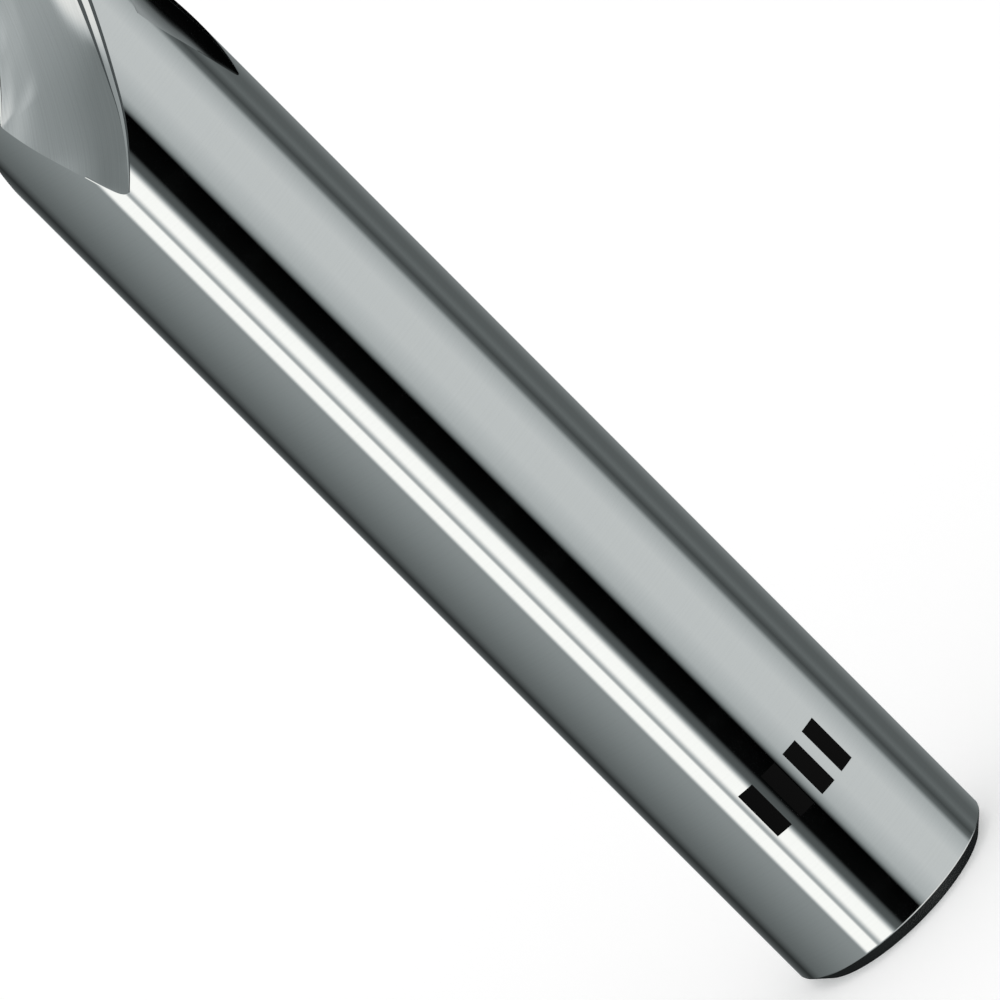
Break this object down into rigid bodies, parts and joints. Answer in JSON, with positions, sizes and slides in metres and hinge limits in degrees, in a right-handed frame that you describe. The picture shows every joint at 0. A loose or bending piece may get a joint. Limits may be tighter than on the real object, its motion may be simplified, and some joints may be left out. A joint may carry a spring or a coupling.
{
  "type": "endmill",
  "caption": "Solid carbide square end mill with a plain round shank, chamfered at its end, and right-hand helical flutes that run out into the shank below gashed and relieved end teeth.",
  "frame": {"origin": "centre of the flat end face of the shank, which the tool stands on", "axes": "+Z along the tool's axis, from the shank end to the cutting end; +X to the right in the picture's view, with +Y away from the viewer"},
  "size_m": [0.008, 0.008, 0.063],
  "materials": {
    "ground_carbide": "solid tungsten carbide, fine ground to a bright mirror-like grey"
  },
  "bodies": {
    "root": {"endmill": "ground_carbide"}
  },
  "joints": []
}
